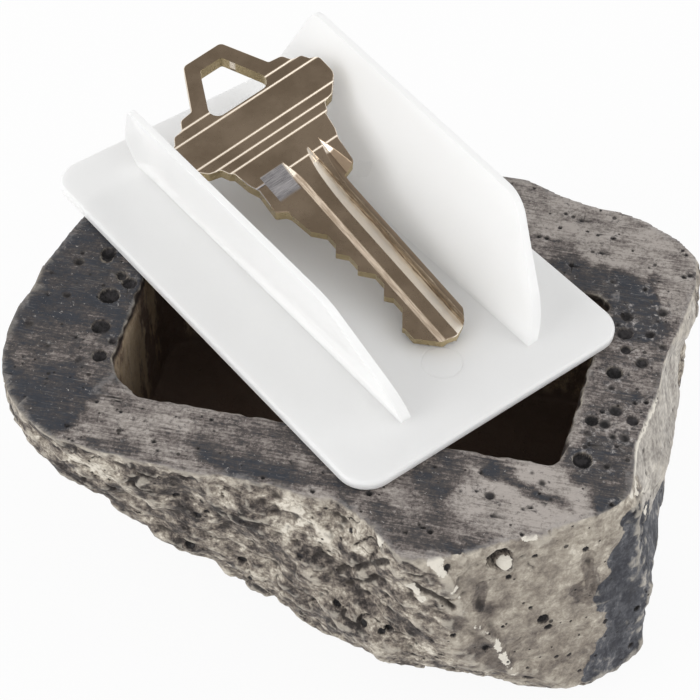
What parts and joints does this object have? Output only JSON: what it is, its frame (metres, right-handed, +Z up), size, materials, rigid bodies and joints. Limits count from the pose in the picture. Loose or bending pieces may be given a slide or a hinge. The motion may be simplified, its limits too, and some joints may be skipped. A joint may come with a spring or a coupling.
{
  "type": "key-hiding stone",
  "caption": "Hollow cast stone for hiding a key, crown down, with its finned plastic lid and a house key lying on the ground base.",
  "frame": {"origin": "centre of the crown's landing facet, under the middle of the key cavity", "axes": "+Z up out of the ground base and the cavity's mouth, +X along the cavity's long side, +Y away from the front wall"},
  "size_m": [0.085, 0.0802, 0.0539],
  "materials": {
    "cast_stone": "rough broken stone, painted charcoal over beige, with a ground base",
    "white_plastic": "moulded, half gloss, faintly translucent",
    "key_metal": "nickel-plated, rolled face with bright milled slots"
  },
  "bodies": {
    "stone": {"stone_shell": "cast_stone"},
    "lid": {"lid": "white_plastic"},
    "key": {"spare_key": "key_metal"}
  },
  "joints": [
    {"name": "lid_lift", "type": "slide", "parent": "stone", "child": "lid", "axis": [0, 0, 1], "range_m": [0, 0.04]},
    {"name": "key_lift", "type": "slide", "parent": "lid", "child": "key", "axis": [0, 0, 1], "range_m": [0, 0.04]}
  ]
}
